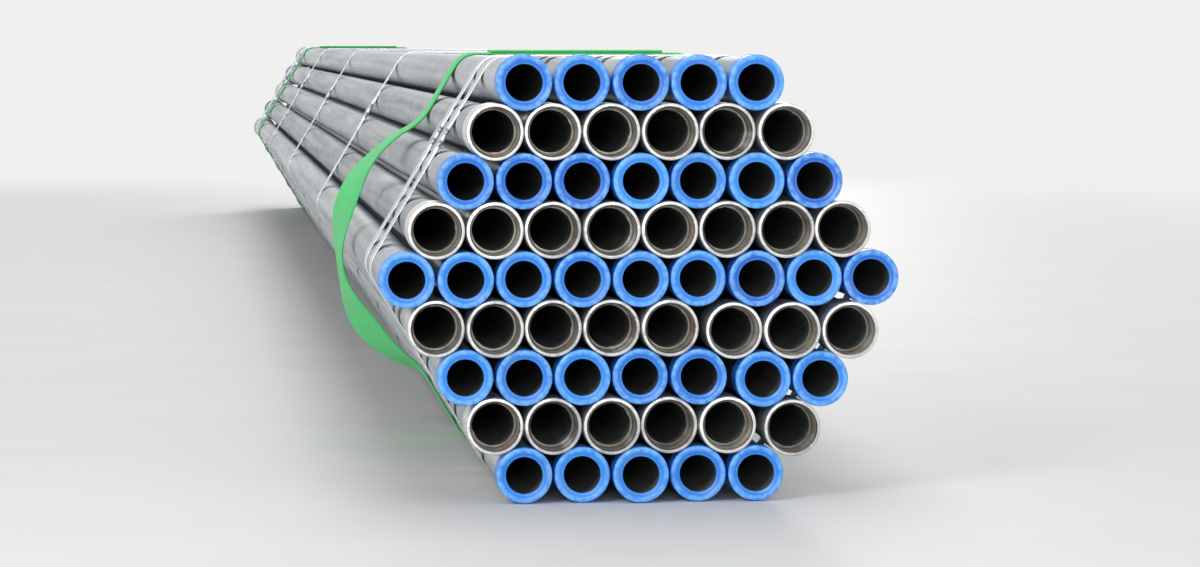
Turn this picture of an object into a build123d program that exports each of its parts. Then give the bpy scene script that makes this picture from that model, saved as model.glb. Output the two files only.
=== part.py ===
"""A hexagonal bundle of 61 galvanised steel pipes, screwed and socketed, with thread protectors, steel straps
and two webbing slings. X runs across the bundle, Y along the pipes and Z up, in millimetres. The origin is on
the floor, under the middle of the bundle."""

import os
from math import sin, sqrt

from build123d import *

os.makedirs("parts", exist_ok=True)

# The pipe: DN 32, which is 1 1/4 inch medium tube, sold in 6 m lengths.
pipe_od = 42.4
pipe_wall = 3.2
pipe_length = 6000.0

# The socket screwed on one end of each pipe.
socket_wall = 2.8
socket_length = 48.0
socket_grip = 24.0
thread_height = 1.7
socket_bevel = 1.0

# The plastic thread protector pushed on the other end.
protector_wall = 2.25
protector_lip = 2.4
protector_face = 3.0
protector_skirt = 22.0
protector_bevel = 1.0

# How the pipes are stacked.
pipes_per_side = 5
screw_clearance = 0.15
row_gap = 0.9
stack_gap = 0.3
slip_out = 6.0
uneven_ends = 4.0
uneven_by_row = 7.0
uneven_by_place = 2.3

# The steel straps, a pair near each end and three along the middle, and their crimped seals.
strap_width = 32.0
strap_thickness = 0.9
strap_from_end = 180.0
strap_pair_spacing = 90.0
strap_middle_spacing = 1400.0
strap_lap = 56.0
seal_length = 30.0
seal_gauge = 1.0
seal_flange = 11.0
seal_clearance = 0.1
crimp_width = 4.0
crimp_depth = 2.5
crimp_spacing = 12.0

# The webbing slings, each with a sewn lap on top and some slack at one corner.
webbing_width = 50.0
webbing_thickness = 2.4
sling_from_end = 560.0
sling_lap = 170.0
slack_reach = 12.0
slack_radius = 130.0
slack_blend = 60.0

# Room between a band and the pipes it lies on, and between the layers of its lap.
band_clearance = 0.15

# Sizes that follow from those above.
pipe_radius = pipe_od / 2
bore_radius = pipe_radius - pipe_wall
seat_radius = pipe_radius + screw_clearance
socket_radius = seat_radius + socket_wall
thread_radius = pipe_radius - thread_height
protector_radius = seat_radius + protector_wall
protector_hole = bore_radius - protector_lip
socket_overhang = socket_length - socket_grip
pitch = 2 * socket_radius + row_gap
touching = socket_radius + protector_radius + stack_gap
row_rise = sqrt(touching**2 - (pitch / 2) ** 2)
slip_down = sqrt(touching**2 - (pitch / 2 - slip_out) ** 2) - row_rise
row_count = 2 * pipes_per_side - 1
lowest_row = max(socket_radius, pipe_radius + band_clearance + webbing_thickness)
widest_row = pipes_per_side - 1
end_place = pipe_length / 2
seal_row = row_count - 3
seal_width = strap_width + 2 * (seal_clearance + seal_gauge)
seal_height = 2 * (strap_thickness + seal_clearance + seal_gauge)
sling_place = end_place - sling_from_end
sling_top = lowest_row + (row_count - 1) * row_rise + pipe_radius + band_clearance + webbing_thickness
strap_pair = [end_place - strap_from_end, end_place - strap_from_end - strap_pair_spacing]
strap_middle = [strap_middle_spacing, 0.0, -strap_middle_spacing]
strap_places = strap_pair + strap_middle + [-y for y in strap_pair]
hair = 0.01


def pipes_in_row(row):
    """How many pipes a row has. Row 0 lies on the floor."""
    return row_count - abs(widest_row - row)


def has_socket_in_front(row):
    """Rows are turned end for end in turn, so that wide sockets lie beside narrow protectors."""
    return row % 2 == 1


def centre_of(row, place):
    """The centre (x, z) of a pipe. In the lower right, as many pipes as the row's number have slipped outwards."""
    x = (place - (pipes_in_row(row) - 1) / 2) * pitch
    z = lowest_row + row * row_rise
    if row < widest_row and place >= pipes_in_row(row) - row:
        return x + slip_out, z - slip_down
    return x, z


def middle_of(row, place):
    """Where a pipe's middle lies along Y, so that sockets and protectors end flush but for a little unevenness."""
    uneven = uneven_ends * sin(uneven_by_row * row + uneven_by_place * place)
    flush = (socket_overhang - protector_face) / 2
    return uneven + (flush if has_socket_in_front(row) else -flush)


def pipe_ends(row, in_front):
    """Where the front or the back end of each pipe in a row is, with local +Y pointing into the pipe."""
    found = []
    for place in range(pipes_in_row(row)):
        x, z = centre_of(row, place)
        if in_front:
            found.append(Location((x, middle_of(row, place) - end_place, z)))
        else:
            found.append(Location((x, middle_of(row, place) + end_place, z), (0, 0, 180)))
    return found


def outside_pipes():
    """The centres of the pipes that the bands lie on."""
    found = []
    for row in range(row_count):
        last_place = pipes_in_row(row) - 1
        for place in range(last_place + 1):
            if row in (0, row_count - 1) or place in (0, last_place):
                found.append(centre_of(row, place))
    return found


def save(part, name):
    part.label = name
    export_step(part, f"parts/{name}.step")


# The pipes, one node for each row.
for row in range(row_count):
    with BuildPart() as pipes:
        for place in range(pipes_in_row(row)):
            front = middle_of(row, place) - end_place
            with BuildSketch(Plane.XZ.offset(-front)):
                with Locations(centre_of(row, place)):
                    Circle(pipe_radius)
                    Circle(bore_radius, mode=Mode.SUBTRACT)
            extrude(amount=-pipe_length)
    save(pipes.part, f"pipe_row_{row + 1}")

# One socket, turned about the pipe's axis. The pipe's end butts against the end of the thread.
with BuildPart() as socket:
    with BuildSketch(Plane.XY):
        with BuildLine():
            Polyline(
                (thread_radius, -socket_overhang),
                (socket_radius, -socket_overhang),
                (socket_radius, socket_grip),
                (seat_radius, socket_grip),
                (seat_radius, 0),
                (thread_radius, 0),
                close=True,
            )
        make_face()
        chamfer(vertices().group_by(Axis.X)[-1], socket_bevel)
    revolve(axis=Axis.Y)

# One thread protector: a skirt over the thread, and a face ring whose lip reaches in over the pipe's wall.
with BuildPart() as protector:
    with BuildSketch(Plane.XY):
        with BuildLine():
            Polyline(
                (protector_hole, -protector_face),
                (protector_radius, -protector_face),
                (protector_radius, protector_skirt),
                (seat_radius, protector_skirt),
                (seat_radius, 0),
                (protector_hole, 0),
                close=True,
            )
        make_face()
        chamfer(vertices().group_by(Axis.X)[-1].sort_by(Axis.Y)[0], protector_bevel)
    revolve(axis=Axis.Y)

# The sockets and the protectors, one node of each for each row.
for row in range(row_count):
    with BuildPart() as sockets:
        with Locations(*pipe_ends(row, in_front=has_socket_in_front(row))):
            add(socket.part)
    save(sockets.part, f"socket_row_{row + 1}")

    with BuildPart() as protectors:
        with Locations(*pipe_ends(row, in_front=not has_socket_in_front(row))):
            add(protector.part)
    save(protectors.part, f"thread_protector_row_{row + 1}")


def turn(first, second, third):
    """Positive where the way from first to third by second turns left, and 0 where the three are in line."""
    return (second[0] - first[0]) * (third[1] - second[1]) - (second[1] - first[1]) * (third[0] - second[0])


def half_way_round(centres):
    """The centres at which a tight band turns, along the lower or the upper side of the bundle."""
    corners = []
    for centre in centres:
        while len(corners) > 1 and turn(corners[-2], corners[-1], centre) < hair:
            corners.pop()
        corners.append(centre)
    return corners[:-1]


def loop_sketch(clearance):
    """All that a band encloses when it is pulled tight round the pipes with this clearance."""
    outside = sorted(outside_pipes())
    with BuildSketch(Plane.XZ) as loop:
        with BuildLine():
            Polyline(*half_way_round(outside), *half_way_round(outside[::-1]), close=True)
        make_face()
        offset(amount=pipe_radius + clearance)
    return loop.sketch_local


def slack_loop_sketch(side):
    """All that a sling encloses when it stands off the pipes at its left (-1) or right (1) corner."""
    corner_x, corner_z = centre_of(widest_row, 0 if side < 0 else pipes_in_row(widest_row) - 1)
    bulge_x = corner_x + side * (pipe_radius + band_clearance + slack_reach - slack_radius)
    with BuildSketch(Plane.XZ) as loop:
        add(loop_sketch(band_clearance))
        with Locations((bulge_x, corner_z)):
            Circle(slack_radius)
        # Widened and taken in again, the outline keeps its size but rounds the hollows beside the circle.
        offset(amount=slack_blend)
        offset(amount=-slack_blend)
    return loop.sketch_local


def seal_plane(across_strap):
    """Where a seal sits, half-way between two pipes of the upper left side, at the inside of the strap."""
    low_x, low_z = centre_of(seal_row, 0)
    high_x, high_z = centre_of(seal_row + 1, 0)
    along = Vector(high_x - low_x, 0, high_z - low_z).normalized()
    outwards = along.cross(Vector(0, 1, 0))
    origin = Vector((low_x + high_x) / 2, 0, (low_z + high_z) / 2) + outwards * (pipe_radius + band_clearance)
    if across_strap:
        return Plane(origin, x_dir=(0, 1, 0), z_dir=along)
    return Plane(origin, x_dir=along, z_dir=outwards)


def crimp_sketch():
    """The notches that the crimping tool leaves in both edges of the seal, and of the strap inside it."""
    with BuildSketch(seal_plane(across_strap=False)) as crimps:
        with GridLocations(crimp_spacing, seal_width, 2, 2):
            Rectangle(crimp_width, 2 * crimp_depth)
    return crimps.sketch


# One strap, with its lap on the outside, under the seal.
with BuildPart() as strap:
    with BuildSketch(Plane.XZ):
        add(loop_sketch(band_clearance + strap_thickness))
        add(loop_sketch(band_clearance), mode=Mode.SUBTRACT)
    extrude(amount=strap_width / 2, both=True)
    with BuildSketch(seal_plane(across_strap=False)):
        Rectangle(strap_lap, strap_width)
    extrude(amount=2 * strap_thickness)
    extrude(crimp_sketch(), amount=seal_height, both=True, mode=Mode.SUBTRACT)

with BuildPart() as straps:
    with Locations(*[(0, y, 0) for y in strap_places]):
        add(strap.part)
save(straps.part, "straps")

# One seal: a sleeve bent round both layers of the strap, with its flanges turned in underneath.
with BuildPart() as seal:
    with BuildSketch(seal_plane(across_strap=True)):
        with Locations((0, strap_thickness)):
            Rectangle(seal_width, seal_height)
            Rectangle(seal_width - 2 * seal_gauge, seal_height - 2 * seal_gauge, mode=Mode.SUBTRACT)
        with Locations((0, -seal_clearance - seal_gauge / 2)):
            Rectangle(seal_width - 2 * seal_flange, seal_gauge, mode=Mode.SUBTRACT)
    extrude(amount=seal_length / 2, both=True)
    extrude(crimp_sketch(), amount=seal_height, both=True, mode=Mode.SUBTRACT)

with BuildPart() as seals:
    with Locations(*[(0, y, 0) for y in strap_places]):
        add(seal.part)
save(seals.part, "strap_seals")

# The slings. The front one is slack at the left corner and the back one at the right.
for number, side in enumerate((-1, 1), start=1):
    with BuildPart() as sling:
        with BuildSketch(Plane.XZ.offset(-side * sling_place)):
            add(slack_loop_sketch(side))
            offset(amount=webbing_thickness)
            add(slack_loop_sketch(side), mode=Mode.SUBTRACT)
        extrude(amount=webbing_width / 2, both=True)
        with BuildSketch(Plane.XY.offset(sling_top)):
            with Locations((0, side * sling_place)):
                Rectangle(sling_lap, webbing_width)
        extrude(amount=webbing_thickness)
    save(sling.part, f"sling_{number}")
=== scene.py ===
# %% [markdown]
# # A bundle of galvanised steel pipes
# Sixty-one pipes lie in nine rows that make a hexagon. Each pipe has a screwed socket on one end and a blue
# thread protector on the other, and the rows are turned end for end in turn. Flat steel straps hold the
# bundle, and two green webbing slings are left on it for the crane.
#
# The solids that we load are true in size but plain. This lesson dresses them: every piece is made again as
# a finer mesh in the same place, and gets a finish that is worked out by shader nodes.

# %% Load the frame
import math

import bpy
import numpy as np
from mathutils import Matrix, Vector


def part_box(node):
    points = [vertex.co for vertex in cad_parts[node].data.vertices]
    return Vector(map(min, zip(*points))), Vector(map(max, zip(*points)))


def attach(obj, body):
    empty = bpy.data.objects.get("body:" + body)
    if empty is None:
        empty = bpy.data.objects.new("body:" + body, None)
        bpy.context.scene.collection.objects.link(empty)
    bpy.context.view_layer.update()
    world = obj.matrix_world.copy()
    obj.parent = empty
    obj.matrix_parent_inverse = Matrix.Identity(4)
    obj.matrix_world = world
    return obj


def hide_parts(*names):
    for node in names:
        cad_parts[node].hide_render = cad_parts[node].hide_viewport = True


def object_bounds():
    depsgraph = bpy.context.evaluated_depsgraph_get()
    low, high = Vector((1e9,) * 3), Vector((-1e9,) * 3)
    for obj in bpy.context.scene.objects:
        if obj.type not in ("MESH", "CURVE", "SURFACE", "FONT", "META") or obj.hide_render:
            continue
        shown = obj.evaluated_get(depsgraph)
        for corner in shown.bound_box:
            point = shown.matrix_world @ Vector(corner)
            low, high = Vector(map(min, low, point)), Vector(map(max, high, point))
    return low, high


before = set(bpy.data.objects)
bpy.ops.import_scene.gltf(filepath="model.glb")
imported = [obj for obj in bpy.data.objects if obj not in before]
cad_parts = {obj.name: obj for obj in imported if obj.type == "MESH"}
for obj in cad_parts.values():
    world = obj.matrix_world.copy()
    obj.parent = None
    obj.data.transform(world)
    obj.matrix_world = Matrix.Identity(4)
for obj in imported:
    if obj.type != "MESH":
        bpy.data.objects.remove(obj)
cad_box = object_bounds()
MM = 0.001
print("nodes:", sorted(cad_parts))
print("box in metres:", [round(b - a, 4) for a, b in zip(*cad_box)])

# %% [markdown]
# ## Where every piece lies
# Each node holds several solids that don't touch. We could type in sixty-one places, but the solids already
# know them. So we split a node's mesh into its islands: vertices at the same place are welded, and labels
# spread along the edges until every island has one label. The box round an island then gives us its middle
# line and its two ends.


# %% Find the box of each solid in a node
def solid_boxes(node):
    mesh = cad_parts[node].data
    points = np.empty(len(mesh.vertices) * 3)
    mesh.vertices.foreach_get("co", points)
    points = points.reshape(-1, 3)
    edges = np.empty(len(mesh.edges) * 2, dtype=np.int64)
    mesh.edges.foreach_get("vertices", edges)
    welded = np.unique(np.round(points, 6), axis=0, return_inverse=True)[1].ravel()
    ends = welded[edges.reshape(-1, 2)]
    label = np.arange(welded.max() + 1)
    while True:
        lowest = np.minimum(label[ends[:, 0]], label[ends[:, 1]])
        spread = label.copy()
        np.minimum.at(spread, ends[:, 0], lowest)
        np.minimum.at(spread, ends[:, 1], lowest)
        spread = spread[spread]
        if np.array_equal(spread, label):
            break
        label = spread
    island = label[welded]
    boxes = [(points[island == i].min(0), points[island == i].max(0)) for i in np.unique(island)]
    return sorted(boxes, key=lambda box: (round(box[0][2], 4), round(box[0][0], 4), round(box[0][1], 4)))


def boxes_of(kind):
    """The solids of every row node of one kind, such as pipe_row_1 to pipe_row_9, from the floor up."""
    return {name: solid_boxes(name) for name in sorted(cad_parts) if name.startswith(kind + "_row_")}


pipe_rows = boxes_of("pipe")
socket_rows = boxes_of("socket")
protector_rows = boxes_of("thread_protector")
print("pipes in each row:", [len(boxes) for boxes in pipe_rows.values()])

# %% [markdown]
# ## Meshes from turned profiles
# Pipes, sockets and protectors are all round, so they are all turned: a profile of (radius, distance)
# points goes round the pipe's axis. A Screw modifier on each would work, but sixty-one objects of each kind
# are slow to handle. Instead numpy turns one profile, copies it to every place in a row, and the copies
# become one mesh. Sharp edges are marked by angle, so that flats stay flat and rounds stay smooth.

# %% Turn a profile round the pipe's axis
SIDES = 64
WHOLE_TURN = 2 * math.pi
ANGLES = np.linspace(0, WHOLE_TURN, SIDES, endpoint=False)


def ring(radius, y):
    """The points of one ring round the Y axis. Its radius and y may differ from point to point."""
    return np.stack([radius * np.cos(ANGLES), np.broadcast_to(y, SIDES), radius * np.sin(ANGLES)], axis=1)


def strip(first, second):
    """Quads between two turned rings, each given by the number of its first point."""
    j = np.arange(SIDES)
    right = (j + 1) % SIDES
    return np.stack([first + j, first + right, second + right, second + j], axis=1)


def ring_faces(rings, sides, closed):
    """Quads between neighbouring rings of a grid. A closed grid joins its last ring to its first."""
    i, j = np.meshgrid(np.arange(rings if closed else rings - 1), np.arange(sides), indexing="ij")
    i, j = i.ravel(), j.ravel()
    up, right = (i + 1) % rings, (j + 1) % sides
    return np.stack([i * sides + j, i * sides + right, up * sides + right, up * sides + j], axis=1)


def turned(profile, closed=True):
    """Vertices and faces of a turned solid, from (radius, y) rows in metres."""
    return np.concatenate([ring(radius, y) for radius, y in profile]), ring_faces(len(profile), SIDES, closed)


print("each turned ring has", SIDES, "points")


# %% Put a copy in its place, and measure a solid
def put(points, middle, front, turned_round, spin=0.0, tilt=0.0):
    """A copy of points at a pipe's end, first tilted off the axis a little and then spun about it.

    A piece at the back end is turned round, not mirrored. A tilted piece is pushed on, so that no side of it
    stands further out than before.
    """
    x, y, z = points.T
    reach = np.abs(x).max() * math.sin(tilt)
    x, y = x * math.cos(tilt) - y * math.sin(tilt), x * math.sin(tilt) + y * math.cos(tilt) + reach
    x, z = x * math.cos(spin) - z * math.sin(spin), x * math.sin(spin) + z * math.cos(spin)
    moved = np.stack([x, y, z], axis=1)
    if turned_round:
        moved[:, :2] *= -1
    return moved + np.array([middle[0], front, middle[1]])


def middle_of(box):
    """The (x, z) of a solid's middle line."""
    low, high = box
    return ((low[0] + high[0]) / 2, (low[2] + high[2]) / 2)


def measure(kind, box):
    """The radius and the length of a round solid."""
    low, high = box
    radius, length = (high[0] - low[0]) / 2, high[1] - low[1]
    print(kind, round(2 * radius / MM, 1), "by", round(length / MM, 1), "mm")
    return radius, length


PIPE_RADIUS, PIPE_LENGTH = measure("pipe:", pipe_rows["pipe_row_1"][0])


# %% Put a mesh in the scene, and join many copies into one
random_shade = np.random.default_rng(61)


def new_object(name, data):
    made = bpy.data.objects.new(name, data)
    bpy.context.scene.collection.objects.link(made)
    return made


def new_piece(name, mesh, sharp, replaces):
    """A piece of the bundle, smooth except where its faces meet at more than the sharp angle, in degrees."""
    mesh.shade_smooth()
    mesh.set_sharp_from_angle(angle=math.radians(sharp))
    piece = new_object(name, mesh)
    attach(piece, "root")
    if replaces:
        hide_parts(*replaces)
    return piece


def join(name, copies, materials, replaces, sharp=35.0):
    """copies is a list of (points, faces, material number of each face, wear of each point, shade).

    The wear of a protector's point is partly real scuffing and partly a painted highlight.
    """
    points, faces, marks, wears_and_highlights, shades = zip(*copies)
    counts = [len(copy_points) for copy_points in points]
    starts = np.cumsum([0] + counts[:-1])
    faces = np.concatenate([copy_faces + start for copy_faces, start in zip(faces, starts)])
    wears_and_highlights = np.concatenate([np.broadcast_to(wear_and_highlight, count) for wear_and_highlight, count in zip(wears_and_highlights, counts)])
    mesh = bpy.data.meshes.new(name)
    mesh.from_pydata(np.concatenate(points).tolist(), [], faces.tolist())
    for material in materials:
        mesh.materials.append(material)
    mesh.polygons.foreach_set("material_index", np.concatenate(marks).astype(np.int32))
    for label, values in (("shade", np.repeat(shades, counts)), ("wear_and_highlight", wears_and_highlights)):
        attribute = mesh.attributes.new(label, "FLOAT", "POINT")
        attribute.data.foreach_set("value", values.astype(np.float32))
    new_piece(name, mesh, sharp, replaces)
    print(name, len(copies), "copies,", len(faces) * (faces.shape[1] - 2), "triangles")


# %% [markdown]
# ## Finishes
# Each finish is a small tree of shader nodes. The helper below makes a node, sets its inputs by name and
# links whatever is itself the output of another node, so that each finish reads from top to bottom.


# %% A helper for shader trees
class Finish:
    def __init__(self, name, world=None):
        self.owner = world or bpy.data.materials.new(name)
        self.owner.use_nodes = True
        self.tree = self.owner.node_tree
        self.tree.nodes.clear()
        self.place = 0

    def add(self, kind, output=0, settings=None, **inputs):
        node = self.tree.nodes.new(kind)
        node.location = (self.place * 180, -(self.place % 4) * 120)
        self.place += 1
        for key, value in (settings or {}).items():
            setattr(node, key, value)
        for key, value in inputs.items():
            numbered = key[0] == "i" and key[1:].isdigit()
            socket = node.inputs[int(key[1:]) if numbered else key.replace("_", " ")]
            if isinstance(value, bpy.types.NodeSocket):
                self.tree.links.new(value, socket)
            else:
                socket.default_value = value
        return node.outputs[output] if node.outputs else None

    def math(self, operation, first, second=0.0, clamp=False):
        settings = {"operation": operation, "use_clamp": clamp}
        return self.add("ShaderNodeMath", settings=settings, i0=first, i1=second)

    def plus(self, first, second, share, clamp=False):
        """The first value and a share of the second."""
        return self.math("ADD", first, self.math("MULTIPLY", second, share), clamp)

    def blend(self, amount, first, second, how="MIX"):
        settings = {"data_type": "RGBA", "blend_type": how}
        return self.add("ShaderNodeMix", output=2, settings=settings, i0=amount, i6=first, i7=second)

    def spread(self, value, low, high, to_low=0.0, to_high=1.0):
        return self.add("ShaderNodeMapRange", i0=value, i1=low, i2=high, i3=to_low, i4=to_high)

    def stretched(self, scale=(1, 1, 1), source="Object"):
        """Coordinates in metres times a scale. Below 1 a pattern is drawn out along that axis."""
        place = self.add("ShaderNodeTexCoord", output={"Object": 3, "UV": 2}[source])
        return self.add("ShaderNodeMapping", i0=place, i3=scale)

    def noise(self, scale, detail, *stretch):
        """Even noise with this many waves to a metre, or noise stretched as f.stretched says."""
        return self.add("ShaderNodeTexNoise", Vector=self.stretched(*stretch), Scale=scale, Detail=detail)

    def attribute(self, name):
        return self.add("ShaderNodeAttribute", output=2, settings={"attribute_name": name})

    def bump(self, height, strength, distance):
        return self.add("ShaderNodeBump", Height=height, Strength=strength, Distance=distance)

    def done(self, **inputs):
        shader = self.add("ShaderNodeBsdfPrincipled", **inputs)
        self.add("ShaderNodeOutputMaterial", Surface=shader)
        return self.owner


def colour(red, green, blue):
    """A colour as it looks on screen, 0 to 255, turned into the linear values that shaders use."""
    channels = [c / 255 for c in (red, green, blue)]
    linear = [c / 12.92 if c <= 0.04045 else ((c + 0.055) / 1.055) ** 2.4 for c in channels]
    return (*linear, 1.0)


print("middle grey on screen is", round(colour(128, 128, 128)[0], 3), "in linear light")

# %% [markdown]
# ### Hot-dip zinc
# Zinc freezes in patches called spangle, each a slightly different grey. On a drawn-out pipe they stretch
# along the length, and the bath leaves faint streaks. Voronoi cells make the patches and a long thin noise
# makes the streaks. Weathered zinc is duller than polished metal, so the roughness is high, and it varies
# with the same patches, which is what makes them show.


# %% Zinc finishes for the pipes and sockets
WHITE_STAIN = colour(222, 224, 222)
RUST = colour(126, 92, 62)


def zinc(name, light, dark, rough, patch=70.0, spangle=0.1, metal=0.85, depth=0.0001, oil=0.0):
    """patch is how many spangles a metre has, spangle how much they differ, and oil how much rust shows."""
    f = Finish(name)
    drawn_out = f.stretched((1, 0.4, 1))
    drift = f.add("ShaderNodeTexNoise", output=1, Vector=drawn_out, Scale=patch * 2.2, Detail=4.0)
    place = f.blend(0.012, drawn_out, drift, "LINEAR_LIGHT")
    patches = f.add("ShaderNodeTexVoronoi", output=1, Vector=place, Scale=patch)
    patch_grey = f.add("ShaderNodeSeparateColor", Color=patches)
    streaks = f.noise(1.0, 5.0, (110, 1.6, 110))
    clouds = f.noise(14.0, 6.0, (1, 0.05, 1))
    grain = f.noise(700.0, 3.0)
    shade = f.attribute("shade")
    tone = f.plus(f.math("MULTIPLY", patch_grey, spangle), streaks, 0.65)
    tone = f.plus(tone, clouds, 0.35)
    tone = f.plus(tone, f.math("SUBTRACT", shade, 0.5), 0.3, clamp=True)
    base = f.blend(f.spread(tone, 0.3, 0.82), dark, light)
    stain = f.noise(36.0, 7.0, (1, 0.06, 1))
    base = f.blend(f.spread(stain, 0.60, 0.82, 0.0, 0.55), base, WHITE_STAIN)
    if oil:
        rust = f.noise(85.0, 7.0)
        base = f.blend(f.spread(rust, 0.48, 0.72, 0.0, oil), base, RUST)
    worn = f.spread(tone, 0.2, 0.9, rough + 0.14, rough - 0.08)
    height = f.plus(f.math("MULTIPLY", patch_grey, 0.06), streaks, 0.8)
    bump = f.bump(f.plus(height, grain, 0.3), 0.5, depth)
    return f.done(Base_Color=base, Roughness=worn, Metallic=metal, Normal=bump)


PIPE_ZINC = zinc("pipe_zinc", colour(198, 203, 207), colour(126, 134, 140), 0.38)
SOCKET_ZINC = zinc(
    "socket_zinc", colour(226, 225, 222), colour(160, 161, 160), 0.42, patch=120.0, spangle=0.25, depth=0.0002
)
BORE_ZINC = zinc("bore_zinc", colour(150, 158, 154), colour(98, 106, 104), 0.45, metal=0.35, oil=0.2)
# The thread's colours are darker than the socket's: partly oiled, rusty cut steel, and partly painted shade
# inside the socket's mouth.
THREAD_RUST_AND_SHADE = zinc("thread_rust_and_shade", colour(158, 155, 148), colour(92, 88, 82), 0.36, patch=300.0, oil=0.5)
print("zinc finishes:", [m.name for m in bpy.data.materials])

# %% [markdown]
# ### Blue thread protectors
# They are moulded in polyethylene: a waxy, slightly translucent plastic with a soft shine. A little
# subsurface scattering stands for the wax, and the blue of each piece differs a little, as batches of
# pigment do. The parts that stand out are mixed towards a paler blue, partly real scuffs and partly
# a painted highlight ring. Fine noise breaks it up, and there the shine is duller.


# %% Blue plastic
def blue_plastic():
    f = Finish("blue_plastic")
    shade = f.attribute("shade")
    wear_and_highlight = f.attribute("wear_and_highlight")
    scuffs = f.noise(210.0, 7.0)
    dust = f.noise(26.0, 5.0)
    base = f.blend(shade, colour(16, 98, 205), colour(40, 138, 236))
    # Painted highlight, partly real scuffs: the rim that stands out is mixed towards a paler blue.
    scuffed_and_highlit = f.math("MULTIPLY", wear_and_highlight, f.spread(scuffs, 0.36, 0.62, 0.15, 0.8))
    base = f.blend(scuffed_and_highlit, base, colour(128, 196, 255))
    base = f.blend(f.spread(dust, 0.55, 0.8, 0.0, 0.22), base, colour(128, 150, 172))
    return f.done(
        Base_Color=base,
        Roughness=f.plus(f.spread(dust, 0.3, 0.75, 0.22, 0.42), scuffed_and_highlit, 0.12),
        Normal=f.bump(scuffs, 0.3, 0.00012),
        Subsurface_Weight=0.12,
        Subsurface_Radius=(0.002, 0.003, 0.006),
        Subsurface_Scale=1.0,
    )


BLUE_PLASTIC = blue_plastic()
print("plastic finish:", BLUE_PLASTIC.name)

# %% [markdown]
# ## The pipes
# A pipe is rolled from strip and welded along its length, and the weld leaves a low bead inside. So the
# bore isn't turned: its radius dips where the bead is, and the bead points another way in every pipe. Both
# ends are threaded. Most of the thread is hidden, but its last shallow turns show behind a socket or
# protector, where the die runs out of the metal.

# %% The pipe's section and its thread
BORE_RADIUS = 18.0 * MM
BEAD_HEIGHT = 0.7 * MM
BEAD_ANGLE = 0.11
THREAD_PITCH = 2.309 * MM
THREAD_STARTS = 22.0 * MM
THREAD_TAPER = 1.2 * MM
THREAD_DEPTHS = [1.1 * MM, 0.8 * MM, 0.45 * MM, 0.15 * MM]
thread_end = THREAD_STARTS + len(THREAD_DEPTHS) * THREAD_PITCH
print("the thread runs out", round(thread_end / MM, 1), "mm from the pipe's end")


def outside_profile():
    """The outside of a pipe from its front end to its middle, with the last turns of its thread."""
    points = [(PIPE_RADIUS - THREAD_TAPER, 0), (PIPE_RADIUS, THREAD_STARTS)]
    for turn, depth in enumerate(THREAD_DEPTHS):
        root = THREAD_STARTS + (turn + 0.5) * THREAD_PITCH
        points.append((PIPE_RADIUS - depth, root))
        points.append((PIPE_RADIUS, root + THREAD_PITCH / 2))
    return points


def pipe_copy(bead_at):
    """One pipe with its front end at y 0. The outer rings come first, then the bore's."""
    half = outside_profile()
    whole = half + [(r, PIPE_LENGTH - y) for r, y in reversed(half)]
    outer, outer_faces = turned(whole, closed=False)
    from_bead = np.abs((ANGLES - bead_at + math.pi) % WHOLE_TURN - math.pi)
    radius = BORE_RADIUS - BEAD_HEIGHT * np.exp(-((from_bead / BEAD_ANGLE) ** 2))
    bore = np.concatenate([ring(radius, 0.0), ring(radius, PIPE_LENGTH)])
    first = len(outer)
    bore_faces = ring_faces(2, SIDES, closed=False)[:, ::-1] + first
    end_faces = np.concatenate([strip(first, 0), strip((len(whole) - 1) * SIDES, first + SIDES)])
    faces = np.concatenate([outer_faces, bore_faces, end_faces])
    marks = np.concatenate([np.zeros(len(outer_faces)), np.ones(len(bore_faces)), np.full(2 * SIDES, 2)])
    return np.concatenate([outer, bore]), faces, marks


# %% Make the nine rows of pipes
pipe_middles = []
for node, boxes in pipe_rows.items():
    copies = []
    for low, high in boxes:
        points, faces, marks = pipe_copy(random_shade.uniform(0, WHOLE_TURN))
        points = put(points, middle_of((low, high)), low[1], False)
        copies.append((points, faces, marks, 0.0, random_shade.uniform()))
        pipe_middles.append(middle_of((low, high)))
    join(f"galvanised_{node}", copies, [PIPE_ZINC, BORE_ZINC, THREAD_RUST_AND_SHADE], [node])

# %% [markdown]
# ## The sockets
# A socket is a short thick sleeve with a thread inside. In its open mouth the thread is in plain view, so
# it is a real helix here. Rows of vertices lie on the crest and at the root in turn, half a pitch apart,
# and each row climbs by one pitch as it goes round. So at the seam a row meets the row two places before
# it. Rows are cut off level at the mouth and at the pipe's end, and the mouth's bevel is a cone that cuts
# through the thread.

# %% Sizes of the socket, read from its solid
SOCKET_RADIUS, SOCKET_LENGTH = measure("socket:", socket_rows["socket_row_1"][0])
MOUTH = -SOCKET_LENGTH / 2
CREST = 19.5 * MM
ROOT = CREST + 1.3 * MM
SEAT_RADIUS = PIPE_RADIUS + 0.15 * MM
BEVEL = 1.0 * MM
LEAD_IN = 2.2 * MM
CONE_SLOPE = 0.7
CONE_MOUTH = ROOT + LEAD_IN * CONE_SLOPE / 2


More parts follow.
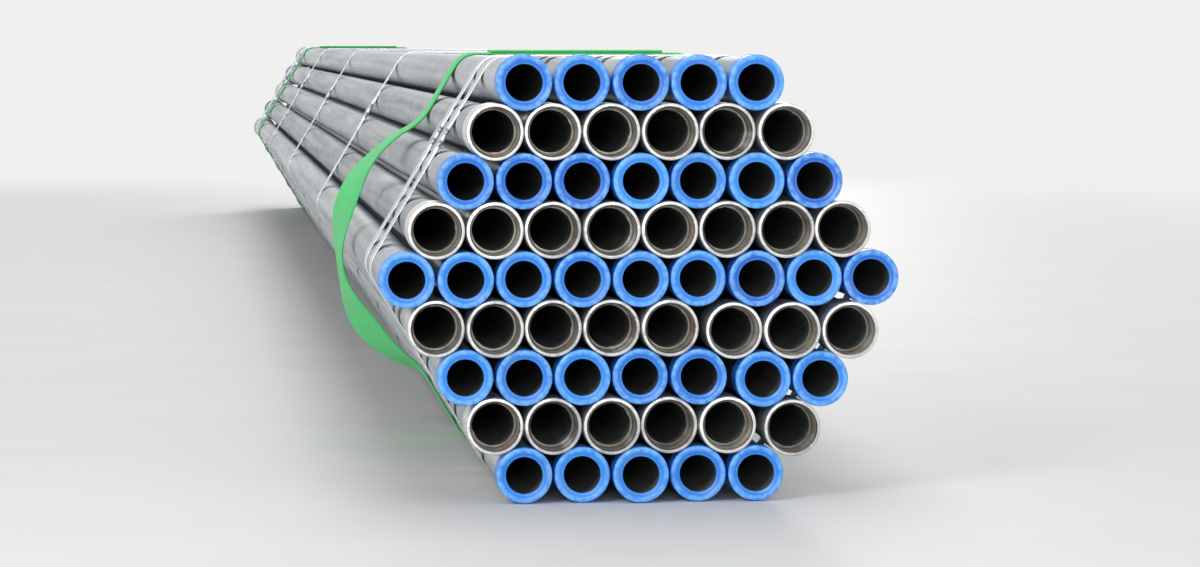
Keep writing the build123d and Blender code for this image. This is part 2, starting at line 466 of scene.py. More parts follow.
# %% A thread inside a hole, as triangles
def thread_rows():
    """Rows of the thread's vertices, from the pipe's end out to the mouth."""
    climb = THREAD_PITCH * ANGLES / WHOLE_TURN
    rows = []
    for half_turn in range(int(2 * (-MOUTH / THREAD_PITCH + 1)) + 2):
        free = THREAD_PITCH - half_turn * THREAD_PITCH / 2 + climb
        y = np.clip(free, MOUTH, 0.0)
        phase = (half_turn / 2 + (free - y) / THREAD_PITCH) % 1.0
        radius = CREST + (ROOT - CREST) * (1 - np.abs(2 * phase - 1))
        cone = CONE_MOUTH - (y - MOUTH) * CONE_SLOPE
        rows.append(ring(np.maximum(radius, np.where(y < MOUTH + LEAD_IN, cone, 0.0)), y))
    return rows


def screw_faces(rows):
    """Quads between the thread's rows, which at the seam step back by two rows."""
    quads = ring_faces(rows, SIDES, closed=False)
    seam = quads[SIDES - 1 :: SIDES, 1:3]
    seam[:] = np.maximum(seam - 2 * SIDES, 0)
    return quads


def triangles(points, quads, marks):
    """Welds points that meet and cuts quads in two, without those that have shrunk to nothing."""
    welded, number = np.unique(np.round(points, 7), axis=0, return_inverse=True)
    corners = number.ravel()[quads]
    halves = np.concatenate([corners[:, [0, 1, 2]], corners[:, [0, 2, 3]]])
    marks = np.concatenate([marks, marks])
    whole = (halves[:, 0] != halves[:, 1]) & (halves[:, 1] != halves[:, 2]) & (halves[:, 2] != halves[:, 0])
    return welded, halves[whole], marks[whole]


# %% One socket
def socket_copy():
    """A socket whose mouth points to -Y, with the pipe's end at y 0."""
    rows = thread_rows()
    thread = screw_faces(len(rows))
    level = [
        (CONE_MOUTH, MOUTH),
        (SOCKET_RADIUS - BEVEL * 1.1, MOUTH),
        (SOCKET_RADIUS - BEVEL * 0.35, MOUTH + BEVEL * 0.25),
        (SOCKET_RADIUS, MOUTH + BEVEL * 1.1),
        (SOCKET_RADIUS, -MOUTH - BEVEL),
        (SOCKET_RADIUS - BEVEL, -MOUTH),
        (SEAT_RADIUS, -MOUTH),
        (SEAT_RADIUS, 0.0),
    ]
    sleeve, sleeve_faces = turned(level, closed=False)
    first = len(rows) * SIDES
    mouth_joint = strip(first - SIDES, first)
    # At the seam the last row meets the row two places before it.
    mouth_joint[-1, 1] -= 2 * SIDES
    seat_joint = strip(first + (len(level) - 1) * SIDES, 0)
    quads = np.concatenate([thread, mouth_joint, sleeve_faces + first, seat_joint])[:, ::-1]
    marks = np.zeros(len(quads))
    marks[: len(thread)] = 1
    return triangles(np.concatenate(rows + [sleeve]), quads, marks)


socket_points, socket_faces, socket_marks = socket_copy()
print("one socket has", len(socket_faces), "triangles")

# %% Make the sockets, row by row
for node, boxes in socket_rows.items():
    copies = []
    for low, high in boxes:
        spin = random_shade.uniform(0, WHOLE_TURN)
        points = put(socket_points, middle_of((low, high)), (low[1] + high[1]) / 2, low[1] > 0, spin)
        copies.append((points, socket_faces, socket_marks, 0.0, random_shade.uniform()))
    join(f"screwed_{node}", copies, [SOCKET_ZINC, THREAD_RUST_AND_SHADE], [node], sharp=28.0)

# %% [markdown]
# ## The thread protectors
# The moulded ring has a domed flange, which catches the light in a bright circle, and a hollow face that
# runs in to a soft lip over the pipe's wall. Its skirt ends in a low bead. Its profile is a list of arcs
# and short lines, and each point of it also says how much paler blue it is given: partly real scuffs from
# handling, which lie on the parts that stand out, and partly a painted highlight ring on the shoulder and
# crown. No protector is pushed on quite straight, so each is tilted by up to a degree.

# %% Sizes of the protector, read from its solid
PROTECTOR_RADIUS, PROTECTOR_LENGTH = measure("protector:", protector_rows["thread_protector_row_1"][0])
FACE = 3.0 * MM
LIP_RADIUS = 15.6 * MM
LIP_FACE = 1.7 * MM
LIP_ROUND = 0.7 * MM
SHOULDER_ROUND = 1.7 * MM
SHOULDER_STEP = 0.05 * MM
SKIRT_INSET = 0.3 * MM
BEAD_ROUND = 0.7 * MM
LARGEST_TILT = math.radians(0.9)


def arc(centre, radius, start, end, steps):
    """Points (radius, y) on an arc, with angles in degrees from the outward direction towards +Y."""
    found = []
    for angle in np.radians(np.linspace(start, end, steps)):
        found.append((centre[0] + radius * math.cos(angle), centre[1] + radius * math.sin(angle)))
    return found


# %% One thread protector
def protector_copy():
    """A protector facing -Y, with the pipe's end at y 0, and the wear and painted highlight of each point."""
    skirt = PROTECTOR_LENGTH - FACE
    lip = arc((LIP_RADIUS + LIP_ROUND, -LIP_FACE + LIP_ROUND), LIP_ROUND, 150, 255, 5)
    hollow = [(17.2 * MM, -LIP_FACE - 0.05 * MM), (18.6 * MM, -LIP_FACE - 0.45 * MM)]
    crown = [(19.6 * MM, -FACE + 0.36 * MM), (20.4 * MM, -FACE + 0.06 * MM), (21.1 * MM, -FACE)]
    shoulder_middle = (PROTECTOR_RADIUS - SHOULDER_ROUND, -FACE + SHOULDER_ROUND + SHOULDER_STEP)
    shoulder = arc(shoulder_middle, SHOULDER_ROUND, 282, 360, 7)
    side = [(PROTECTOR_RADIUS - SKIRT_INSET, 3.0 * MM), (PROTECTOR_RADIUS - SKIRT_INSET, skirt - 2.8 * MM)]
    bead = [(PROTECTOR_RADIUS, skirt - 1.9 * MM)]
    bead += arc((PROTECTOR_RADIUS - BEAD_ROUND, skirt - BEAD_ROUND), BEAD_ROUND, 0, 90, 4)
    inside = [(SEAT_RADIUS, skirt), (SEAT_RADIUS, 0.0), (LIP_RADIUS + 0.2 * MM, 0.0)]
    # Each part of the profile, with how much paler blue it gets: partly wear, partly painted highlight.
    parts = [
        (lip, 0.35), (hollow, 0.0), (crown, 0.75), (shoulder, 1.0), (side, 0.1), (bead, 0.8), (inside, 0.0),
    ]
    profile = [point for points, wear_and_highlight in parts for point in points]
    wear_and_highlight = np.repeat([wear_and_highlight for points, wear_and_highlight in parts for _ in points], SIDES)
    points, faces = turned(profile)
    return points, faces[:, ::-1], np.zeros(len(faces)), wear_and_highlight


protector_points, protector_faces, protector_marks, protector_wear_and_highlight = protector_copy()
print("one protector has", len(protector_faces), "faces")

# %% Make the protectors, row by row
for node, boxes in protector_rows.items():
    copies = []
    for low, high in boxes:
        at_back = low[1] > 0
        pipe_end = high[1] - FACE if at_back else low[1] + FACE
        spin = random_shade.uniform(0, WHOLE_TURN)
        tilt = random_shade.uniform(0, LARGEST_TILT)
        points = put(protector_points, middle_of((low, high)), pipe_end, at_back, spin, tilt)
        copies.append((points, protector_faces, protector_marks, protector_wear_and_highlight, random_shade.uniform()))
    join(f"moulded_{node}", copies, [BLUE_PLASTIC], [node])

# %% [markdown]
# ## The way round the bundle
# A tight band touches only the outermost pipes. Its line is the convex hull of their middles, pushed out by
# the pipe's radius: straight between corners, and an arc at each corner. Where a sling is slack, one
# corner's arc is swapped for a wide one that stands off the pipes, joined to the sides by two hollow
# curves. On the right the slipped pipes make more corners, and the lower hollow curve reaches past one of
# them.


# %% The corners of a tight band
IN_LINE = 1e-8


def turn(first, second, third):
    return (second[0] - first[0]) * (third[1] - second[1]) - (second[1] - first[1]) * (third[0] - second[0])


def half_way_round(points):
    corners = []
    for point in points:
        while len(corners) > 1 and turn(corners[-2], corners[-1], point) < IN_LINE:
            corners.pop()
        corners.append(point)
    return corners[:-1]


middles = sorted(pipe_middles)
CORNERS = [np.array(c) for c in half_way_round(middles) + half_way_round(middles[::-1])]
print("a tight band turns at", len(CORNERS), "pipes")

# %% Arcs, and the way round a slack corner
SLACK_REACH = 12.0 * MM
SLACK_RADIUS = 130.0 * MM
SLACK_BLEND = 60.0 * MM
BAND_CLEARANCE = 0.15 * MM
BEND_STEP = math.radians(2)


def bend(centre, radius, start, end):
    """Points on an arc from one angle to another, in radians."""
    steps = max(2, int(abs(end - start) / BEND_STEP) + 1)
    angles = np.linspace(start, end, steps)
    return [centre + radius * np.array([math.cos(a), math.sin(a)]) for a in angles]


def near(angle, target):
    """The same angle, with whole turns added so that it lies within half a turn of the target."""
    return target + (angle - target + math.pi) % WHOLE_TURN - math.pi


def side_faces(i):
    """The angle of the direction that the side after corner i faces."""
    along = CORNERS[(i + 1) % len(CORNERS)] - CORNERS[i]
    return math.atan2(-along[0], along[1])


def hollow_bend(arc_middle, radius, corner, way):
    """The hollow curve that joins the wide arc to the nearest side that it can lie against.

    It looks along the sides from the slack corner, backwards (-1) or onwards (1), and goes on to the next
    side where the curve would touch this one only past its end.
    """
    while True:
        angle = side_faces(corner if way > 0 else corner - 1)
        normal = np.array([math.cos(angle), math.sin(angle)])
        along = np.array([-normal[1], normal[0]])
        depth = radius + (CORNERS[corner] - arc_middle) @ normal
        offset = math.sqrt((SLACK_RADIUS + SLACK_BLEND) ** 2 - (depth + SLACK_BLEND) ** 2)
        curve_middle = arc_middle + normal * (depth + SLACK_BLEND) + along * way * offset
        next_corner = (corner + way) % len(CORNERS)
        if (curve_middle - CORNERS[next_corner]) @ along * way < 0:
            towards = arc_middle - curve_middle
            return curve_middle, angle + math.pi, math.atan2(towards[1], towards[0]), corner
        corner = next_corner


def slack_corner(corner, radius, side):
    """The hollow, wide and hollow curves, and the first and last corner whose place they take."""
    arc_middle = CORNERS[corner] + np.array([side * (radius + SLACK_REACH - SLACK_RADIUS), 0.0])
    first, first_start, first_end, first_corner = hollow_bend(arc_middle, radius, corner, -1)
    last, last_end, last_start, last_corner = hollow_bend(arc_middle, radius, corner, 1)
    arc_start = first_end + math.pi
    arc_end = near(last_start + math.pi, arc_start)
    points = bend(first, SLACK_BLEND, first_start, near(first_end, first_start))
    points += bend(arc_middle, SLACK_RADIUS, near(arc_start, arc_end), arc_end)
    points += bend(last, SLACK_BLEND, last_start, near(last_end, last_start))
    return points, first_corner, last_corner


# %% The outline of a tight or slack band
WAY_STEP = 3.0 * MM


def outline(slack_side=0):
    """The way (x, z) anticlockwise round the bundle, loose at its left (-1) or right (1) corner if at all."""
    radius = PIPE_RADIUS + BAND_CLEARANCE
    slack_points, first, last = [], len(CORNERS), -1
    if slack_side:
        slack_at = max(range(len(CORNERS)), key=lambda i: slack_side * CORNERS[i][0])
        slack_points, first, last = slack_corner(slack_at, radius, slack_side)
    points = []
    for i, corner in enumerate(CORNERS):
        if i == first:
            points += slack_points
        if not first <= i <= last:
            before = side_faces(i - 1)
            points += bend(corner, radius, before, before + (side_faces(i) - before) % WHOLE_TURN)
    return evenly(np.array(points))


def evenly(points):
    """The same closed way with its points a step apart, their outward normals and the length."""
    closed = np.concatenate([points, points[:1]])
    lengths = np.concatenate([[0], np.cumsum(np.linalg.norm(np.diff(closed, axis=0), axis=1))])
    at = np.linspace(0, lengths[-1], int(lengths[-1] / WAY_STEP), endpoint=False)
    even = np.stack([np.interp(at, lengths, closed[:, k]) for k in (0, 1)], axis=1)
    tangent = np.roll(even, -1, axis=0) - np.roll(even, 1, axis=0)
    tangent /= np.linalg.norm(tangent, axis=1)[:, None]
    normal = np.stack([tangent[:, 1], -tangent[:, 0]], axis=1)
    return even, normal, lengths[-1]


tight, tight_normals, tight_length = outline()


def nearest(point):
    """The number of the tight band's point that is nearest to this one."""
    return int(np.argmin(np.linalg.norm(tight - point, axis=1)))


print("a tight band is", round(tight_length, 3), "m round")

# %% [markdown]
# ## The steel straps
# A strap is one strip of bright zinc-coated steel. It goes round once, and its second end lies on its first
# where the seal grips both. So this strip starts under the seal, follows the outline all the way round,
# climbs by its own thickness, and ends a little past the seal. Where the crimping tool bit, both edges are
# nicked.


# %% Sweep a section along a way round the bundle
PATTERN_SHIFT = 0.01
BAND_SHARP = 40.0


def swept(way, normals, sections, y_middle, distances, closed=False):
    """A band as (points, faces, across, along), the last two in metres for its UV map.

    sections holds a closed outline of (y, height off the pipes) for each point of the way.
    """
    sections = np.asarray(sections)
    points = np.empty(sections.shape[:2] + (3,))
    points[..., 0] = way[:, None, 0] + normals[:, None, 0] * sections[..., 1]
    points[..., 2] = way[:, None, 1] + normals[:, None, 1] * sections[..., 1]
    points[..., 1] = y_middle + sections[..., 0]
    rings, sides = sections.shape[:2]
    faces = [tuple(f) for f in ring_faces(rings, sides, closed)]
    if not closed:
        faces.append(tuple(range(sides)))
        faces.append(tuple(range((rings - 1) * sides, rings * sides))[::-1])
    return points.reshape(-1, 3), faces, sections[..., 0].ravel(), np.repeat(distances, sides)


def joined(shapes):
    """Several swept shapes as one, each with another part of the pattern."""
    start, faces, along = 0, [], []
    for shape_points, shape_faces, _, shape_along in shapes:
        faces += [[int(i) + start for i in face] for face in shape_faces]
        along.append(shape_along + start * PATTERN_SHIFT)
        start += len(shape_points)
    points, _, across, _ = zip(*shapes)
    return np.concatenate(points), faces, np.concatenate(across), np.concatenate(along)


def band_object(name, shapes, material, replaces, way_round=0.0):
    """An object from swept shapes, with a UV map in metres: across the band and along it.

    Where a closed band comes back to its start, the faces there get the length of the whole way round, so
    that the weave doesn't run backwards in one narrow strip.
    """
    points, faces, across, along = joined(shapes)
    mesh = bpy.data.meshes.new(name)
    mesh.from_pydata(points.tolist(), [], faces)
    mesh.materials.append(material)
    uv = mesh.uv_layers.new(name="band")
    corner = np.empty(len(mesh.loops), dtype=np.int32)
    mesh.loops.foreach_get("vertex_index", corner)
    along = along[corner]
    sizes = np.array([len(face) for face in faces])
    furthest = np.repeat(np.maximum.reduceat(along, np.concatenate([[0], np.cumsum(sizes)[:-1]])), sizes)
    along = np.where(furthest - along > 0.5 * way_round, along + way_round, along)
    uv.data.foreach_set("uv", np.stack([across[corner], along], axis=1).astype(np.float32).ravel())
    print(name, len(shapes), "shapes,", len(faces), "faces")
    return new_piece(name, mesh, BAND_SHARP, replaces)


# %% Sizes of the strap and the place of each one
strap_boxes = solid_boxes("straps")
seal_boxes = solid_boxes("strap_seals")
STRAP_WIDTH = strap_boxes[0][1][1] - strap_boxes[0][0][1]
STRAP_THICKNESS = 0.9 * MM
STRAP_LAP = 56.0 * MM
STRAP_EDGE = 0.22 * MM
LAP_GAP = 0.06 * MM
RAMP = 14.0 * MM
FINE_STEP = 1.0 * MM
FINE_REACH = 20.0 * MM
COARSER = 4
CRIMP_PLACES = (-6.0 * MM, 6.0 * MM)
CRIMP_HALF = 2.0 * MM
CRIMP_BITE = 2.4 * MM
STRAP_BITE = 0.8
STEP = tight_length / len(tight)
SEAL_INDEX = nearest(np.array(middle_of(seal_boxes[0])))
print(len(strap_boxes), "straps,", round(STRAP_WIDTH / MM, 1), "mm wide")


def bite(distance):
    """How deep the crimping tool pressed at this distance from the seal's middle."""
    return sum(CRIMP_BITE * math.exp(-(((distance - place) / CRIMP_HALF) ** 4)) for place in CRIMP_PLACES)


# %% Make the straps
def strap_shape(y_middle):
    """One strap. Its stations are close together near the seal and four times as far apart elsewhere."""
    total = tight_length + STRAP_LAP
    distances = np.arange(-STRAP_LAP / 2, total - STRAP_LAP / 2, FINE_STEP)
    near_seal = np.minimum(np.abs(distances), np.abs(distances - tight_length)) < FINE_REACH
    stations = distances[near_seal | (np.arange(len(distances)) % COARSER == 0)]
    rows, way, normals = [], [], []
    soft = STRAP_EDGE
    for d in stations:
        at = (SEAL_INDEX + d / STEP) % len(tight)
        i, share = int(at), at % 1
        j = (i + 1) % len(tight)
        way.append(tight[i] * (1 - share) + tight[j] * share)
        normals.append(tight_normals[i] * (1 - share) + tight_normals[j] * share)
        climb = (d - (tight_length - STRAP_LAP / 2 - RAMP)) / RAMP
        low = (STRAP_THICKNESS + LAP_GAP) * min(max(climb, 0.0), 1.0)
        high = low + STRAP_THICKNESS
        half = STRAP_WIDTH / 2 - max(bite(d), bite(d - tight_length)) * STRAP_BITE
        rows.append(
            [
                (-half, low + soft), (-half + soft, low), (0.0, low), (half - soft, low),
                (half, low + soft), (half, high - soft), (half - soft, high), (0.0, high),
                (-half + soft, high), (-half, high - soft),
            ]
        )
    points, faces, _, along = swept(np.array(way), np.array(normals), rows, y_middle, stations)
    return points, faces, np.tile([y for y, _ in rows[0]], len(rows)), along


def strip_steel(name, light, dark, rough):
    f = Finish(name)
    drawn = f.noise(1.0, 3.0, (900, 4, 1), "UV")
    patches = f.noise(1.0, 5.0, (60, 25, 1), "UV")
    scratch = f.noise(1.0, 2.0, (2500, 60, 1), "UV")
    tone = f.plus(f.math("MULTIPLY", drawn, 0.5), patches, 0.5)
    base = f.blend(f.spread(tone, 0.3, 0.7), dark, light)
    worn = f.spread(patches, 0.25, 0.75, rough - 0.08, rough + 0.14)
    bump = f.bump(f.plus(drawn, scratch, 0.5), 0.4, 0.00006)
    return f.done(Base_Color=base, Roughness=worn, Metallic=1.0, Normal=bump)


STRAP_STEEL = strip_steel("strap_steel", colour(228, 230, 232), colour(182, 186, 190), 0.28)
SEAL_STEEL = strip_steel("seal_steel", colour(206, 208, 210), colour(150, 154, 158), 0.34)
strap_shapes = [strap_shape((low[1] + high[1]) / 2) for low, high in strap_boxes]
band_object("steel_straps", strap_shapes, STRAP_STEEL, ["straps"])

# %% [markdown]
# ## The seals
# A seal starts as a flat sleeve with its flanges turned in under the strap. The tool then squeezes both
# edges in two places. Here its section is one closed outline, swept along the strap, and the points near
# its edges move inwards where the tool bit.

# %% Make the seals
SEAL_LENGTH = 30.0 * MM
SEAL_GAUGE = 1.0 * MM
SEAL_FLANGE = 11.0 * MM
SEAL_OUTSIDE = 1.1 * MM
SEAL_ROUND = 0.8 * MM
SEAL_CROWN = 0.15 * MM
SEAL_STATIONS = 41


def seal_section(pressed):
    """The closed outline (y, height) of a seal's section, with its edges pressed in by this much."""
    side = STRAP_WIDTH / 2 + SEAL_OUTSIDE
    tip = side - SEAL_FLANGE
    top = 2 * STRAP_THICKNESS + SEAL_OUTSIDE
    bottom = -SEAL_OUTSIDE
    g, r = SEAL_GAUGE, SEAL_ROUND
    half = [
        (tip, bottom), (side - r, bottom), (side - 0.25 * r, bottom + 0.25 * r), (side, bottom + r),
        (side, top - r), (side - 0.25 * r, top - 0.25 * r), (side - r, top), (side * 0.6, top),
        (0.0, top + SEAL_CROWN),
    ]
    inside = [
        (0.0, top - g), (side * 0.6, top - g), (side - g - 0.2 * MM, top - g), (side - g, top - g - 0.2 * MM),
        (side - g, bottom + g + 0.2 * MM), (side - g - 0.2 * MM, bottom + g), (tip, bottom + g),
    ]

    def squeezed(point):
        """Near its edge the seal moves inwards, its flange up against the strap and its top down a little."""
        y, height = point
        share = min(max((y - side * 0.62) / (side * 0.38), 0.0), 1.0)
        return (y - pressed * share, height + 0.35 * pressed * share * (1 if height < 0 else -0.4))

    half = [squeezed(point) for point in half]
    inside = [squeezed(point) for point in inside]
    left_outside = [(-y, height) for y, height in reversed(half[:-1])]
    left_inside = [(-y, height) for y, height in reversed(inside[1:])]
    return half + left_outside + left_inside + inside


def seal_shape(box):
    low, high = box
    middle = np.array(middle_of(box))
    i = nearest(middle)
    normal = tight_normals[i]
    tangent = np.array([-normal[1], normal[0]])
    foot = tight[i] + tangent * ((middle - tight[i]) @ tangent)
    stations = np.linspace(-SEAL_LENGTH / 2, SEAL_LENGTH / 2, SEAL_STATIONS)
    sections = [seal_section(bite(w)) for w in stations]
    way = foot + np.outer(stations, tangent)
    normals = np.tile(normal, (SEAL_STATIONS, 1))
    return swept(way, normals, sections, (low[1] + high[1]) / 2, stations)


seal_shapes = [seal_shape(box) for box in seal_boxes]
band_object("crimped_seals", seal_shapes, SEAL_STEEL, ["strap_seals"])

# %% [markdown]
# ## The webbing slings
# Each sling is an endless band of woven polyester. It lies flat on the pipes except at one corner, where it
# is slack. Flat webbing keeps its width, so it is modelled directly as a thick ribbed section that is swept
# round the bundle. Where it is slack it also twists towards the front, in one lobe above the corner and one
# below it. It leans no further than its inner edge has room for, so the twist dies out where it comes to
# lie on the pipes. Along its whole way it wanders by a few millimetres. The doubled part on top is the sewn
# joint.

# %% Sizes of the slings
WEB_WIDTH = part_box("sling_1")[1][1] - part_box("sling_1")[0][1]
WEB_THICKNESS = 2.4 * MM
WEB_RIBS = 9
RIB_HEIGHT = 0.14 * MM
WEB_EDGE = 0.06
WEB_LAP = 170.0 * MM
LEVEL = 0.9999
LAP_LOOSE = 0.1 * MM
# The lobes of the twist: height over the corner, reach up and down, lean in radians.
LOBES = [(44.0 * MM, 40.0 * MM, 0.36), (-80.0 * MM, 38.0 * MM, 0.46)]
# How far the webbing wanders: once and three times on its way round, and at its slack corner.
WANDER_ONCE, WANDER_THRICE, WANDER_SLACK = 2.2 * MM, 1.2 * MM, 4.0 * MM
SLACK_SPREAD = 90.0 * MM
print("webbing", round(WEB_WIDTH / MM, 1), "mm wide")


# %% The section of the webbing
def web_section(low=0.0, lean=0.0, shift=0.0):
    """The closed outline (y, height) of the webbing, ribbed above and below, and leaning by an angle."""
    across = np.linspace(-1, 1, 4 * WEB_RIBS + 1)
    ribs = RIB_HEIGHT * np.cos(across * WEB_RIBS * math.pi) - RIB_HEIGHT
    edge = np.sqrt(np.clip(1 - np.clip((np.abs(across) - 1 + WEB_EDGE) / WEB_EDGE, 0, 1) ** 2, 0.05, 1))
    upper = edge * WEB_THICKNESS / 2 + ribs
    y = np.concatenate([across, across[::-1]]) * WEB_WIDTH / 2
    height = np.concatenate([-upper, upper[::-1]])
    turned_y = y * math.cos(lean) - height * math.sin(lean)
    turned_height = y * math.sin(lean) + height * math.cos(lean)
    return np.stack([turned_y + shift, turned_height + low + WEB_THICKNESS / 2], axis=1)


# %% Webbing finish
def woven(name, light, dark, rough=0.75):
    f = Finish(name)
    cloth = f.stretched(source="UV")
    threads = []
    for direction, scale in (("X", 190.0), ("Y", 240.0)):
        kind = {"bands_direction": direction}
        threads.append(f.add("ShaderNodeTexWave", settings=kind, Vector=cloth, Scale=scale, Distortion=0.5))
    fuzz = f.noise(1400.0, 2.0)
    dirt = f.noise(28.0, 6.0)
    weave = f.math("MULTIPLY", *threads)
    base = f.blend(f.spread(weave, 0.0, 0.7), dark, light)
    base = f.blend(f.spread(dirt, 0.56, 0.8, 0.0, 0.35), base, colour(92, 150, 110))
    bump = f.bump(f.plus(weave, fuzz, 0.35), 0.8, 0.0006)
    return f.done(Base_Color=base, Roughness=rough, Normal=bump, Sheen_Weight=0.35, Sheen_Roughness=0.5)


WEBBING = woven("green_webbing", colour(84, 248, 146), colour(30, 200, 94))
STITCHES = woven("stitching", colour(190, 250, 205), colour(120, 215, 150), 0.6)
print("woven finishes:", WEBBING.name, STITCHES.name)


# %% Make one sling and its sewn lap
def lean_at(point, corner, slack_side):
    """How far the webbing leans towards the front, in radians, and no further than its edge has room for."""
    lean = 0.0
    if slack_side * point[0] > 0:
        for height, reach, most in LOBES:
            lean += most * math.exp(-(((point[1] - corner[1] - height) / reach) ** 2))
    i = nearest(point)
    stand_off = max(float((point - tight[i]) @ tight_normals[i]), 0.0)
    return -slack_side * min(lean, math.asin(min(2 * stand_off / WEB_WIDTH, 1.0)))


def make_sling(number, slack_side):
    node = f"sling_{number}"
    low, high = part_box(node)
    y_middle = (low[1] + high[1]) / 2
    way, normals, length = outline(slack_side)
    count = len(way)
    corner = max(CORNERS, key=lambda c: slack_side * c[0])
    sections = []
    for i, point in enumerate(way):
        angle = WHOLE_TURN * i / count
        slack = math.exp(-((np.linalg.norm(point - corner) / SLACK_SPREAD) ** 2))
        wander = WANDER_ONCE * math.sin(angle + number) + WANDER_THRICE * math.sin(3 * angle)
        lean = lean_at(point, corner, slack_side)
        sections.append(web_section(lean=lean, shift=wander + WANDER_SLACK * slack))
    distances = np.arange(count) * length / count
    on_top = [i for i in range(count) if normals[i][1] > LEVEL and abs(way[i][0]) < WEB_LAP / 2]
    lap_low = WEB_THICKNESS + LAP_LOOSE
    lap_sections = [web_section(low=lap_low, shift=sections[i][:, 0].mean()) for i in on_top]
    shapes = [
        swept(way, normals, sections, y_middle, distances, closed=True),
        swept(way[on_top], normals[on_top], lap_sections, y_middle, distances[on_top]),
    ]
    band_object(f"webbing_{node}", shapes, WEBBING, [node], way_round=length)
    print(node, "is", round(length, 3), "m round")
    return way[on_top], y_middle, sections[on_top[0]][:, 0].mean()


laps = {number: make_sling(number, slack_side) for number, slack_side in ((1, -1), (2, 1))}

# %% [markdown]
# ### The sewn joint
# Rows of stitches run along the lap, and a zigzag row crosses each end. Every stitch is a short bar of
# thread with rounded ends that sinks a little into the webbing, so that the seam still reads from close by.

# %% Stitch the laps
STITCH_LENGTH = 3.6 * MM
STITCH_GAP = 1.6 * MM
STITCH_SIDES = 6
STITCH_TIP, STITCH_RADIUS = 0.14 * MM, 0.42 * MM
STITCH_STRAIGHT, STITCH_FLATNESS = 0.75, 0.8
STITCH_LIFT = 0.05 * MM
SEAM_PLACES = [-19.0 * MM, -9.5 * MM, 0.0, 9.5 * MM, 19.0 * MM]
SEAM_INSET = 6.0 * MM
SEAM_STARTS = 22.0 * MM
ZIGZAG_REACH = 22.0 * MM
ZIGZAG_NEAR, ZIGZAG_FAR = 2.0 * MM, 18.0 * MM
ZIGZAG_CORNERS = 7


def stitch(centre, heading):
    """A rounded bar that lies along a heading in the XY plane."""
    half, full = STITCH_LENGTH / 2, STITCH_LENGTH / 2 * STITCH_STRAIGHT
    rings = [(-half, STITCH_TIP), (-full, STITCH_RADIUS), (full, STITCH_RADIUS), (half, STITCH_TIP)]
    angle = np.linspace(0, WHOLE_TURN, STITCH_SIDES, endpoint=False)
    points = []
    for along, radius in rings:
        across, height = radius * np.cos(angle), STITCH_FLATNESS * radius * np.sin(angle)
        x = centre[0] + along * math.cos(heading) - across * math.sin(heading)
        y = centre[1] + along * math.sin(heading) + across * math.cos(heading)
        points.append(np.stack([x, y, centre[2] + height], axis=1))
    faces = [tuple(f) for f in ring_faces(len(rings), STITCH_SIDES, closed=False)]
    faces.append(tuple(range(STITCH_SIDES))[::-1])
    faces.append(tuple(range((len(rings) - 1) * STITCH_SIDES, len(rings) * STITCH_SIDES)))
    return np.concatenate(points), faces


def seam_lines(way):
    """Straight seams along the lap, and a zigzag near each of its ends, as (x, y) corners."""
    low, high = way[:, 0].min() + SEAM_INSET, way[:, 0].max() - SEAM_INSET
    lines = [[(low + SEAM_STARTS, y), (high - SEAM_STARTS, y)] for y in SEAM_PLACES]
    corners = np.linspace(-ZIGZAG_REACH, ZIGZAG_REACH, ZIGZAG_CORNERS)
    for end, inwards in ((low, 1), (high, -1)):
        zigzag = [end + inwards * (ZIGZAG_FAR if k % 2 else ZIGZAG_NEAR) for k in range(ZIGZAG_CORNERS)]
        lines.append(list(zip(zigzag, corners)))
    return lines


def sew(number, way, y_middle, shift):
    top = way[0][1] + 2 * WEB_THICKNESS + STITCH_LIFT
    shapes = []
    for line in seam_lines(way):
        for (x0, y0), (x1, y1) in zip(line, line[1:]):
            run = math.hypot(x1 - x0, y1 - y0)
            heading = math.atan2(y1 - y0, x1 - x0)
            count = max(1, round(run / (STITCH_LENGTH + STITCH_GAP)))
            for k in range(count):
                part = (k + 0.5) / count
                centre = (x0 + (x1 - x0) * part, y_middle + shift + y0 + (y1 - y0) * part, top)
                points, faces = stitch(centre, heading)
                shapes.append((points, faces, points[:, 1], points[:, 0]))
    band_object(f"stitches_sling_{number}", shapes, STITCHES, [])


for number, (lap_way, lap_y, lap_shift) in laps.items():
    sew(number, lap_way, lap_y, lap_shift)

# %% [markdown]
# ## Floor, light and camera
# A pale floor and soft lamps from both sides and above, at a plain level, so that colours come out as they
# are written. The camera stands in front of the pipes' ends, a little to the left and a little above, so
# that the ends face it as in the photograph and the length of the bundle still shows.

# %% Floor and background
BACKGROUND = colour(240, 240, 239)
PLAIN_FLOOR, FLOOR_GONE = 0.5, 2.8
SKY_STRENGTH = 0.45


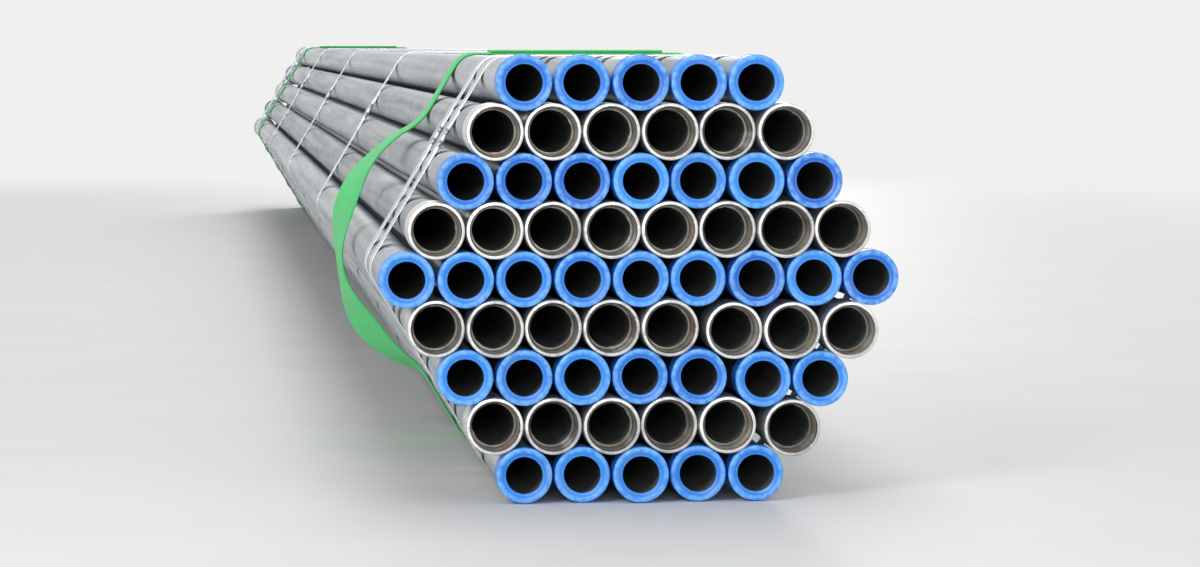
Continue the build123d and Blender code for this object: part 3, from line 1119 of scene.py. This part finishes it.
def pale_floor():
    """A floor that is plain round the bundle and turns into the background within a few metres of it."""
    f = Finish("pale_floor")
    grain = f.noise(5.0, 6.0)
    base = f.blend(f.spread(grain, 0.35, 0.65), colour(224, 224, 223), colour(227, 227, 226))
    cover = f.add("ShaderNodeBsdfPrincipled", Base_Color=base, Roughness=0.6)
    place = f.add("ShaderNodeTexCoord", output=3)
    beside = f.add("ShaderNodeSeparateXYZ", output=0, Vector=place)
    along = f.add("ShaderNodeSeparateXYZ", output=1, Vector=place)
    past_end = f.math("MAXIMUM", f.math("SUBTRACT", f.math("ABSOLUTE", along), -cad_box[0][1]), 0.0)
    away = f.math("SQRT", f.math("ADD", f.math("POWER", beside, 2.0), f.math("POWER", past_end, 2.0)))
    smooth = {"interpolation_type": "SMOOTHSTEP"}
    far = f.add("ShaderNodeMapRange", settings=smooth, i0=away, i1=PLAIN_FLOOR, i2=FLOOR_GONE)
    glow = f.add("ShaderNodeEmission", Color=BACKGROUND, Strength=1.0)
    surface = f.add("ShaderNodeMixShader", i0=far, i1=cover, i2=glow)
    f.add("ShaderNodeOutputMaterial", Surface=surface)
    return f.owner


bpy.ops.mesh.primitive_plane_add(size=400.0, location=(0, 0, 0))
floor = bpy.context.object
floor.name = "studio_floor"
floor.data.materials.append(pale_floor())

bpy.context.scene.world = bpy.data.worlds.new("studio")
sky = Finish("studio", bpy.context.scene.world)
soft_light = sky.add("ShaderNodeBackground", Color=(1.0, 1.0, 1.0, 1.0), Strength=SKY_STRENGTH)
shown = sky.add("ShaderNodeBackground", Color=BACKGROUND, Strength=1.0)
seen = sky.add("ShaderNodeLightPath", output="Is Camera Ray")
for kind in ("Is Glossy Ray", "Is Transmission Ray"):
    seen = sky.math("MAXIMUM", seen, sky.add("ShaderNodeLightPath", output=kind))
sky.add("ShaderNodeOutputWorld", Surface=sky.add("ShaderNodeMixShader", i0=seen, i1=soft_light, i2=shown))
print("the floor turns into the background", FLOOR_GONE, "m away")


# %% Lamps
def look(thing, place, aim):
    """Puts a lamp or the camera in its place and turns it to what it looks at."""
    thing.location = place
    thing.rotation_mode = "QUATERNION"
    thing.rotation_quaternion = (Vector(aim) - Vector(place)).to_track_quat("-Z", "Y")


def lamp(name, place, aim, size, watts):
    data = bpy.data.lights.new(name, "AREA")
    data.shape = "RECTANGLE"
    data.size, data.size_y = size
    data.energy = watts
    look(new_object(name, data), place, aim)


front = cad_box[0][1]
lamp("front", (-0.4, front - 4.5, 0.9), (0, front, 0.2), (1.4, 1.4), 56)
lamp("key", (-2.0, front - 2.6, 2.0), (0, front, 0.2), (1.1, 1.1), 50)
lamp("fill", (2.4, front - 2.4, 1.2), (0, front, 0.2), (1.6, 1.2), 12)
lamp("overhead", (0, 0, 3.6), (0, 0, 0), (2.0, 6.5), 75)
lamp("behind", (1.2, -front + 3.6, 1.8), (0, -front, 0.2), (1.4, 1.4), 70)
print("lamps:", [light.name for light in bpy.data.lights])

# %% Camera
YAW, RISE, DISTANCE = math.radians(6.0), math.radians(3.5), 3.3
SENSOR, LENS = 36.0, 118.0
camera = new_object("camera", bpy.data.cameras.new("camera"))
camera.data.sensor_width = SENSOR
camera.data.lens = LENS
bpy.context.scene.camera = camera
aim = Vector((-0.035, front, 0.186))
from_aim = Vector((-math.sin(YAW) * math.cos(RISE), -math.cos(YAW) * math.cos(RISE), math.sin(RISE)))
look(camera, aim + DISTANCE * from_aim, aim)
print("camera at", [round(v, 3) for v in camera.location])

# %% Colours as written, and the CAD box
bpy.context.scene.view_settings.view_transform = "Standard"
print("cad box", [tuple(round(v, 4) for v in c) for c in cad_box])
